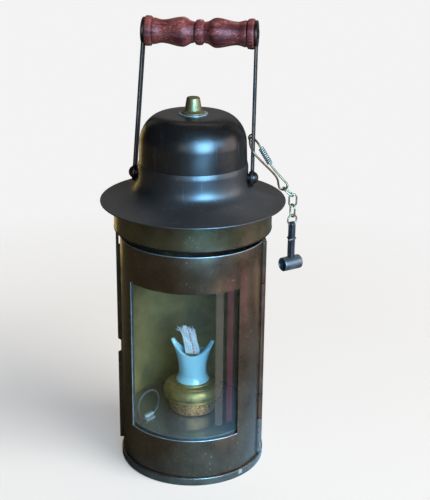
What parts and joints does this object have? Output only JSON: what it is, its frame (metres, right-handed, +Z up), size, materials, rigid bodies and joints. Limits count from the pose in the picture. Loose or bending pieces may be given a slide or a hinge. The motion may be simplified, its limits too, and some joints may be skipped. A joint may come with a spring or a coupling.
{
  "type": "ship lamp",
  "caption": "Round hand-carried ship lamp with a glazed hinged door, flat-wick oil burner, oil tank, flared cowl, dome, swinging bail with turned wooden grip, and a toggle on a short chain.",
  "frame": {"origin": "centre of the base's flat underside", "axes": "+Z up along the lamp's axis, -Y towards the glazed door, +X towards the hinge and the chain"},
  "size_m": [0.1832, 0.166, 0.4111],
  "materials": {
    "dark_bronze": "dark brown patina, satin, speckled",
    "door_bronze": "dark brown patina with olive speckle, satin",
    "olive_bronze": "olive-brown patina, satin",
    "black_bronze": "blackened, satin, lightly scratched",
    "old_brass": "dull olive-gold brass",
    "pale_brass": "pale worn brass wire",
    "pale_metal": "pale washer, dull",
    "tank_metal": "tinned sheet, grey-green, glossy",
    "steel_wire": "dull steel wire",
    "barrel_steel": "dull grey steel",
    "black_strap": "black, matt",
    "window_glass": "clear, slightly dusty",
    "copper": "dull copper, speckled",
    "porcelain": "pale blue-white glaze",
    "wick_cotton": "white woven cotton with a red stripe",
    "mahogany": "dark reddish turned wood, satin varnish"
  },
  "bodies": {
    "root": {"base_pan": "dark_bronze", "rear_shell": "dark_bronze", "hinge_pin": "olive_bronze", "catch_spring": "olive_bronze", "catch_rivets": "olive_bronze", "top_deck": "olive_bronze", "chimney_tube": "olive_bronze", "collar": "olive_bronze", "cowl": "black_bronze", "dome": "black_bronze", "finial_washer": "pale_metal", "finial": "old_brass", "finial_nut": "old_brass", "bail_bosses": "black_bronze", "bail_rivets": "black_bronze", "tank_drum": "tank_metal", "tank_top": "tank_metal", "tank_neck": "old_brass", "pull_staple": "old_brass"},
    "door": {"door_shell": "door_bronze", "window_glass": "window_glass", "glass_sill": "olive_bronze", "glass_head": "olive_bronze", "glass_channel_left": "olive_bronze", "glass_channel_right": "olive_bronze"},
    "burner": {"burner_skirt": "copper", "burner_dome": "old_brass", "crown_seat": "old_brass", "wick_tube": "old_brass", "porcelain_crown": "porcelain"},
    "wick": {"wick": "wick_cotton"},
    "ring": {"pull_ring": "steel_wire"},
    "bail": {"strap_left": "black_bronze", "strap_right": "black_bronze", "grip_rod": "black_bronze", "wooden_grip": "mahogany", "lanyard_eye": "black_bronze", "lanyard_wire": "pale_brass", "wire_wrap": "steel_wire"},
    "chain": {"chain_link_1": "pale_brass", "chain_link_2": "pale_brass", "chain_link_3": "pale_brass", "chain_ring": "pale_brass"},
    "toggle": {"toggle_strap": "black_strap", "toggle_tie": "steel_wire", "toggle_barrel": "barrel_steel"}
  },
  "joints": [
    {"name": "door_swing", "type": "hinge", "parent": "root", "child": "door", "pos_m": [0.06549, -0.01155, 0.1], "axis": [0, 0, 1], "range_deg": [0, 110]},
    {"name": "bail_swing", "type": "hinge", "parent": "root", "child": "bail", "pos_m": [0, 0, 0.2777], "axis": [1, 0, 0], "range_deg": [-80, 105]},
    {"name": "chain_swing", "type": "hinge", "parent": "bail", "child": "chain", "pos_m": [0.0816, 0.01, 0.2655], "axis": [1, 0, 0], "range_deg": [-45, 45]},
    {"name": "toggle_swing", "type": "hinge", "parent": "chain", "child": "toggle", "pos_m": [0.08876, 0.01, 0.23259], "axis": [0.766, 0.6428, 0], "range_deg": [-45, 12]},
    {"name": "burner_turn", "type": "hinge", "parent": "root", "child": "burner", "pos_m": [0, 0, 0.06], "axis": [0, 0, 1], "range_deg": [0, 90]},
    {"name": "wick_raise", "type": "slide", "parent": "burner", "child": "wick", "axis": [0, 0, 1], "range_m": [-0.003, 0.008]},
    {"name": "pull_ring_fold", "type": "hinge", "parent": "root", "child": "ring", "pos_m": [-0.03715, -0.0283, 0.04885], "axis": [-0.5299, -0.848, 0], "range_deg": [-50, 2]}
  ]
}
